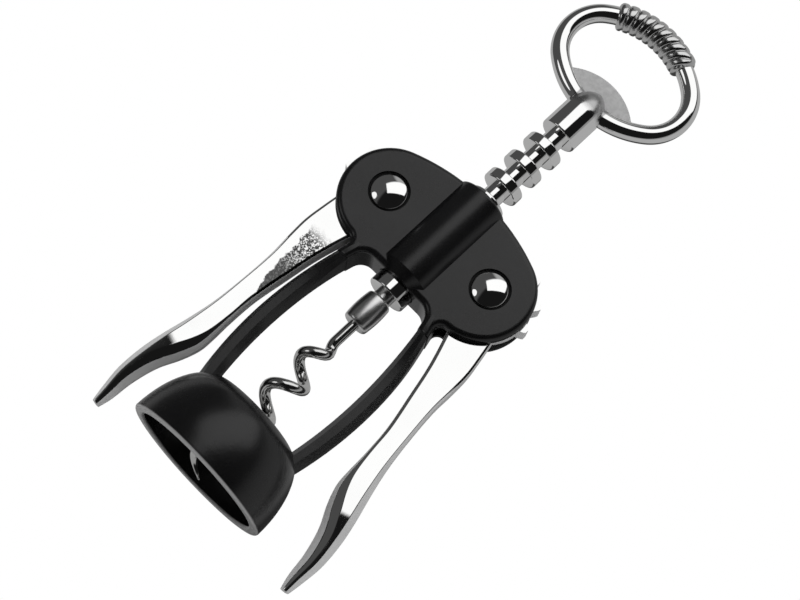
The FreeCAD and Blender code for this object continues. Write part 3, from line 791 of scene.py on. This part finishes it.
# %% Rack
RACK_RING_RADIUS, RACK_RING_HEIGHT, RACK_RING_COUNT, RACK_PITCH = 5.3, 3.0, 7, 6.99
TOP_RING_Z, NECK_RADIUS, RACK_TOP_Z, BORE_RADIUS, RACK_EDGE_ROUND = 117.22, 2.8, 124.4, 1.65, 0.45
END_RADIUS, END_Z, END_TOP_Z = 5.43, 63.2, 71.29


def ring_profile(low):
    high = low + RACK_RING_HEIGHT
    return [(NECK_RADIUS, low), (RACK_RING_RADIUS, low), (RACK_RING_RADIUS, high), (NECK_RADIUS, high)]


def add_rack():
    bm = bmesh.new()
    outline = [(BORE_RADIUS, END_Z), (END_RADIUS, END_Z), (END_RADIUS, END_TOP_Z),
               (NECK_RADIUS, END_TOP_Z)]
    for i in reversed(range(RACK_RING_COUNT)):
        outline += ring_profile(TOP_RING_Z - i * RACK_PITCH)
    outline += [(NECK_RADIUS, RACK_TOP_Z), (BORE_RADIUS, RACK_TOP_Z)]
    verts = profile(bm, outline)
    bm.edges.new((verts[-1], verts[0]))
    corners = [v for v in verts if v.co.x > (NECK_RADIUS + RACK_RING_RADIUS) / 2]
    rounded(bm, corners, RACK_EDGE_ROUND)
    lathe(bm)
    finished("rack", bm, [polished_plate], "rack", "polished_casting", "rack")


add_rack()

# %% [markdown]
# ## Pins and caps
# A pin passes through both cheeks and a lever. Its head is a low dome on a short rim, set in
# a shallow recess, and a cap of the same shape closes the back. A flattened sphere would do
# for the dome, but the mirrored window shows its true arc. So both are half profiles with an
# arc in them, spun around Z and then laid along Y.

# %% Pivot pins and rear caps
DOME_RADIUS, DOME_RISE, DOME_RIM, DOME_EDGE_ROUND, RECESS_FLOOR = 4.65, 1.5, 0.6, 0.25, 5.0
PIN_RADIUS, PIN_TAIL_RADIUS, CAP_BORE_RADIUS, CAP_WALL = 2.5, 1.8, 1.82, 0.8
DOME_BALL = (DOME_RADIUS ** 2 + DOME_RISE ** 2) / (2 * DOME_RISE)


def dome_profile():
    """From the rim's foot up and over to the crown; the height runs out of the cheek."""
    edge = math.degrees(math.acos(DOME_RADIUS / DOME_BALL))
    centre = (0, RECESS_FLOOR + DOME_RIM + DOME_RISE - DOME_BALL)
    return [(DOME_RADIUS, RECESS_FLOOR)] + arc_points(centre, DOME_BALL, edge, 90, 10)


def add_pair(name, outline, toward):
    """Spins an outline and sets it at both pivots, facing the front (-1) or the back (1)."""
    bm = bmesh.new()
    verts = profile(bm, outline)
    rim = max(verts, key=lambda v: (round(v.co.x, 4), v.co.z))
    rounded(bm, [rim], DOME_EDGE_ROUND)
    lathe(bm, steps=64)
    bmesh.ops.rotate(bm, verts=bm.verts, cent=(0, 0, 0),
                     matrix=Matrix.Rotation(math.radians(-90 * toward), 3, "X"))
    twin = bmesh.ops.duplicate(bm, geom=bm.verts[:] + bm.edges[:] + bm.faces[:])["geom"]
    twin = [v for v in twin if isinstance(v, bmesh.types.BMVert)]
    bmesh.ops.translate(bm, verts=twin, vec=(-2 * PIVOT_X, 0, 0))
    bmesh.ops.translate(bm, verts=bm.verts, vec=(PIVOT_X, 0, PIVOT_Z))
    finished(name, bm, [polished_plate], "frame", "polished_casting", name)


PIN_TAIL = RECESS_FLOOR + DOME_RIM + DOME_RISE - CAP_WALL
PIN_SHANK = [(0, -PIN_TAIL), (PIN_TAIL_RADIUS, -PIN_TAIL), (PIN_TAIL_RADIUS, -RECESS_FLOOR),
             (PIN_RADIUS, -RECESS_FLOOR), (PIN_RADIUS, RECESS_FLOOR)]
CAP_HOLLOW = [(0, PIN_TAIL), (CAP_BORE_RADIUS, PIN_TAIL), (CAP_BORE_RADIUS, RECESS_FLOOR)]
add_pair("pivot_pins", PIN_SHANK + dome_profile(), -1)
add_pair("pivot_caps", CAP_HOLLOW + dome_profile(), 1)

# %% [markdown]
# ## The handle's ring and collar
# The handle is one casting: a round collar with a pointed dome, an oval ring of round bar, a
# twisted grip at the top of the ring and a flat lip for lifting caps below. A stretched torus
# would thin the bar at its sides. The oval is really four arcs that meet smoothly, so one
# circle is spun about the first arc's centre, the last circle of that spin about the second's,
# and so on round. The collar is turned.

# %% Ring
RING_Z, HALF_WIDTH, HALF_HEIGHT, SIDE_RADIUS, BAR_RADIUS = 149.75, 19.0, 14.05, 11.2, 2.45
FLAT_RADIUS = ((HALF_WIDTH ** 2 + HALF_HEIGHT ** 2 - 2 * HALF_WIDTH * SIDE_RADIUS)
               / (2 * (HALF_HEIGHT - SIDE_RADIUS)))
SIDE_X, DROP = HALF_WIDTH - SIDE_RADIUS, FLAT_RADIUS - HALF_HEIGHT
CORNER = math.degrees(math.atan2(DROP, SIDE_X))


def bar_circle(bm, centre, radius, angle, bar, segments):
    """A circle across the bar where its arc begins."""
    turn = math.radians(angle)
    at = Vector((centre[0] + radius * math.cos(turn), 0, centre[1] + radius * math.sin(turn)))
    placed = Matrix.Translation(at) @ turned_forward(angle)
    made = bmesh.ops.create_circle(bm, segments=segments, radius=bar, matrix=placed)
    return made["verts"] + list({e for v in made["verts"] for e in v.link_edges})


def follow_arc(bm, geom, centre, sweep, steps):
    """Spins the bar's circle along one arc and gives the circle at its end."""
    spun = bmesh.ops.spin(bm, geom=geom, cent=(centre[0], 0, centre[1]), axis=(0, -1, 0),
                          dvec=(0, 0, 0), angle=math.radians(sweep), steps=steps)
    return spun["geom_last"]


def add_ring(bm):
    geom = bar_circle(bm, (SIDE_X, RING_Z), SIDE_RADIUS, -CORNER, BAR_RADIUS, 40)
    geom = follow_arc(bm, geom, (SIDE_X, RING_Z), 2 * CORNER, 40)
    geom = follow_arc(bm, geom, (0, RING_Z - DROP), 180 - 2 * CORNER, 60)
    geom = follow_arc(bm, geom, (-SIDE_X, RING_Z), 2 * CORNER, 40)
    follow_arc(bm, geom, (0, RING_Z + DROP), 180 - 2 * CORNER, 60)
    bmesh.ops.remove_doubles(bm, verts=bm.verts, dist=1e-3)


print("ring's flat arcs have a radius of", round(FLAT_RADIUS, 2))

# %% [markdown]
# ## The collar
# The collar sits on the rack's top under the ring, a short cylinder whose dome rises to a
# point inside the ring's bar. It could be a cylinder with a cone, but the real dome swells. One
# arc that starts upright at the shoulder and ends on the axis gives it. The collar is spun in
# a mesh of its own, because lathe spins everything that its mesh holds.

# %% Collar
COLLAR_RADIUS, COLLAR_Z, SHOULDER_Z, TIP_Z, COLLAR_EDGE_ROUND = 5.25, 124.4, 133.0, 140.9, 0.5
SPINDLE_HOLE_RADIUS, COLLAR_HOLE_TOP_Z = 1.62, 130.42


def add_collar(bm):
    rise = TIP_Z - SHOULDER_Z
    back = (rise ** 2 - COLLAR_RADIUS ** 2) / (2 * COLLAR_RADIUS)
    end = math.degrees(math.atan2(rise, back))
    turned = bmesh.new()
    outline = [(0, COLLAR_HOLE_TOP_Z), (SPINDLE_HOLE_RADIUS, COLLAR_HOLE_TOP_Z),
               (SPINDLE_HOLE_RADIUS, COLLAR_Z), (COLLAR_RADIUS, COLLAR_Z)]
    lower_edge = len(outline) - 1
    outline += arc_points((-back, SHOULDER_Z), COLLAR_RADIUS + back, 0, end, 14)
    verts = profile(turned, outline)
    rounded(turned, [verts[lower_edge]], COLLAR_EDGE_ROUND, segments=3)
    lathe(turned)
    mesh = bpy.data.meshes.new("collar")
    turned.to_mesh(mesh)
    turned.free()
    bm.from_mesh(mesh)
    bpy.data.meshes.remove(mesh)


def add_ring_and_collar():
    bm = bmesh.new()
    add_ring(bm)
    add_collar(bm)
    finished("ring_and_collar", bm, [collar_plate], "screw", "polished_casting", "handle")


add_ring_and_collar()

# %% [markdown]
# ## The twisted grip
# The top of the ring is thicker and its surface is cast in ridges that lie across the bar and
# lean more and more towards the right end. A bump could draw them, but they show in outline.
# So a fine tube along the same arc is made first. Each of its vertices is then drawn in towards
# the bar's middle, most where a groove runs, so the ridges are round and the grooves sharp.
# The tube narrows to the ring's bar at both ends.

# %% Grip
GRIP_RADIUS, GRIP_RIGHT, GRIP_LEFT = 3.7, 64.8, 122.7
RIDGE_COUNT, GROOVE_DEPTH, LEAN_AT_RIGHT, RIDGE_FULLNESS, SHOULDER_LENGTH = 10, 0.5, 0.5, 3.5, 1.3


def grip_radius(share, height, length):
    """Radius of the grip, by its share of the way from left to right and height off the bar."""
    along = share * length - LEAN_AT_RIGHT * share * height
    off_crest = 2.0 * abs((along / length * RIDGE_COUNT) % 1.0 - 0.5)
    groove = off_crest ** RIDGE_FULLNESS
    from_end = min(1.0, min(share, 1.0 - share) * length / SHOULDER_LENGTH)
    shoulder = 1.0 - math.sqrt(max(0.0, 1.0 - (1.0 - from_end) ** 2))
    return GRIP_RADIUS - GROOVE_DEPTH * groove - (GRIP_RADIUS - BAR_RADIUS) * shoulder


def add_grip():
    bm = bmesh.new()
    centre = (0, RING_Z - DROP)
    length = FLAT_RADIUS * math.radians(GRIP_LEFT - GRIP_RIGHT)
    geom = bar_circle(bm, centre, FLAT_RADIUS, GRIP_RIGHT, GRIP_RADIUS, 64)
    follow_arc(bm, geom, centre, GRIP_LEFT - GRIP_RIGHT, 200)
    bmesh.ops.holes_fill(bm, edges=[e for e in bm.edges if e.is_boundary])
    for vert in bm.verts:
        angle = math.atan2(vert.co.z - centre[1], vert.co.x)
        outward = Vector((math.cos(angle), 0, math.sin(angle)))
        middle = outward * FLAT_RADIUS + Vector((0, 0, centre[1]))
        out = vert.co - middle
        share = (math.radians(GRIP_LEFT) - angle) * FLAT_RADIUS / length
        vert.co = middle + out.normalized() * grip_radius(share, out.dot(outward), length)
    finished("twisted_grip", bm, [grip_plate], "screw", "polished_casting", "handle", smooth_angle=60)


add_grip()

# %% [markdown]
# ## The cap lifter's lip
# Above the collar a flat web fills the bottom of the ring, and its arched upper edge hooks
# under a bottle's crown cap. It could be cut from a disc, but only the arch shows and the
# rest is sunk in the ring's bar. So it is a flat outline extruded to its thickness, with its
# edges softened by a bevel.

# %% Cap lifter's lip
LIP_HALF_WIDTH, LIP_END_Z, LIP_CROWN_Z, LIP_THICKNESS, LIP_EDGE_ROUND = 10.6, 140.4, 144.4, 2.4, 0.25
SUNK_SHARE, SUNK_RISE = 0.8, 1.4


def add_lip():
    bm = bmesh.new()
    rise = LIP_CROWN_Z - LIP_END_Z
    radius = (LIP_HALF_WIDTH ** 2 + rise ** 2) / (2 * rise)
    spread = math.degrees(math.asin(LIP_HALF_WIDTH / radius))
    outline = arc_points((0, LIP_CROWN_Z - radius), radius, 90 - spread, 90 + spread, 40)
    sunk, side_x = RING_Z - HALF_HEIGHT, LIP_HALF_WIDTH * SUNK_SHARE
    outline += [(-side_x, sunk + SUNK_RISE), (0, sunk), (side_x, sunk + SUNK_RISE)]
    front = bm.faces.new([bm.verts.new((x, -LIP_THICKNESS / 2, z)) for x, z in outline])
    extruded(bm, front, LIP_THICKNESS)
    rims = [e for e in bm.edges if abs(e.verts[0].co.y - e.verts[1].co.y) < LIP_THICKNESS / 2]
    bmesh.ops.bevel(bm, geom=rims, offset=LIP_EDGE_ROUND, segments=3, profile=0.5, affect="EDGES",
                    material=-1)
    finished("lifter_lip", bm, [tumbled_web], "screw", "polished_casting", "handle")


add_lip()

# %% [markdown]
# ## The ferrule
# Below the rack a barrel-shaped sleeve holds the worm's straight shank. It has a short neck
# that runs against the rack. The sleeve is turned, so it is a half profile as well, with one
# shallow arc for the barrel and round shoulders at its two ends.

# %% Ferrule
FERRULE_TOP, FERRULE_FOOT, FERRULE_END_RADIUS, FERRULE_RADIUS = 61.5, 52.4, 3.4, 3.75
FERRULE_NECK_RADIUS, FERRULE_SHOULDER_ROUND, SPINDLE_HOLE_FOOT_Z = 2.6, 0.7, 58.48
SHANK_HOLE_RADIUS, SHANK_HOLE_TOP_Z = 1.44, 56.92


def add_ferrule():
    bm = bmesh.new()
    half = (FERRULE_TOP - FERRULE_FOOT) / 2
    swell = FERRULE_RADIUS - FERRULE_END_RADIUS
    radius = (half ** 2 + swell ** 2) / (2 * swell)
    spread = math.degrees(math.asin(half / radius))
    neck = [(0, SPINDLE_HOLE_FOOT_Z), (SPINDLE_HOLE_RADIUS, SPINDLE_HOLE_FOOT_Z),
            (SPINDLE_HOLE_RADIUS, END_Z), (FERRULE_NECK_RADIUS, END_Z),
            (FERRULE_NECK_RADIUS, FERRULE_TOP)]
    barrel = arc_points((FERRULE_RADIUS - radius, FERRULE_FOOT + half), radius, spread, -spread, 8)
    shank_hole = [(SHANK_HOLE_RADIUS, FERRULE_FOOT), (SHANK_HOLE_RADIUS, SHANK_HOLE_TOP_Z),
                  (0, SHANK_HOLE_TOP_Z)]
    verts = profile(bm, neck + barrel + shank_hole)
    shoulders = [verts[len(neck)], verts[len(neck) + len(barrel) - 1]]
    rounded(bm, shoulders, FERRULE_SHOULDER_ROUND, segments=6)
    lathe(bm, steps=72)
    finished("ferrule", bm, [satin_sleeve], "screw", "satin_steel", "ferrule")


add_ferrule()

# %% [markdown]
# ## The worm
# The worm is steel wire bent to a helix, with its point drawn out. A screw modifier would keep
# the wire's thickness all along. A curve with a round section takes a radius at every point,
# so it runs thinner towards its tip. Below the ferrule the wire leaves the axis in a widening
# turn, and its full helix begins at the first bend to the left.

# %% Worm
WIRE_RADIUS, WORM_RADIUS, WORM_PITCH, TIP_RADIUS = 1.42, 3.4, 11.5, 0.2
FIRST_LEFT_Z, WORM_TIP_Z, LEAD_TURNS, POINT_TURNS = 37.9, -0.3, 0.75, 0.375
WORM_TOP_Z = FIRST_LEFT_Z + WORM_PITCH * LEAD_TURNS
ALL_TURNS = (WORM_TOP_Z - WORM_TIP_Z) / WORM_PITCH
SHANK_TOP_Z, SHANK_FOOT_Z = 56.9, 49.0


def worm_place(turns):
    """The wire's centre, in turns down from where it leaves the axis."""
    share = min(1.0, turns / LEAD_TURNS)
    radius = WORM_RADIUS * share * share * (3 - 2 * share)
    turn = math.radians(90 - 360 * turns)
    return radius * math.cos(turn), radius * math.sin(turn), WORM_TOP_Z - WORM_PITCH * turns


def add_worm(per_turn=48):
    steps = round(ALL_TURNS * per_turn)
    places = [(0, 0, SHANK_TOP_Z), (0, 0, FERRULE_FOOT), (0, 0, SHANK_FOOT_Z)]
    places += [worm_place(ALL_TURNS * i / steps) for i in range(steps + 1)]
    wire = bpy.data.curves.new("worm", "CURVE")
    wire.dimensions = "3D"
    wire.bevel_depth = WIRE_RADIUS * MM
    wire.bevel_resolution = 6
    wire.use_fill_caps = True
    spline = wire.splines.new("POLY")
    spline.points.add(len(places) - 1)
    thinnest = TIP_RADIUS / WIRE_RADIUS
    for i, (point, place) in enumerate(zip(spline.points, places)):
        from_tip = (len(places) - 1 - i) / per_turn / POINT_TURNS
        point.co = (*(c * MM for c in place), 1.0)
        point.radius = min(1.0, thinnest + (1 - thinnest) * from_tip)
    worm = scene_object("worm", wire, worm_wire)
    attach(worm, "screw")
    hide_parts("worm")
    print("worm points", len(places))


add_worm()

# %% [markdown]
# ## Finishes for the pieces kept from the CAD model
# The frame casting could be modelled again, but its shape is right as packed, and so is the
# hidden spindle's. They keep their meshes and only take their finishes.

# %% Finishes on the kept pieces
for name, material in (("frame_casting", black_enamel), ("spindle", satin_sleeve)):
    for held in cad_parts[name].material_slots:
        held.material = material
print("frame and spindle finished")
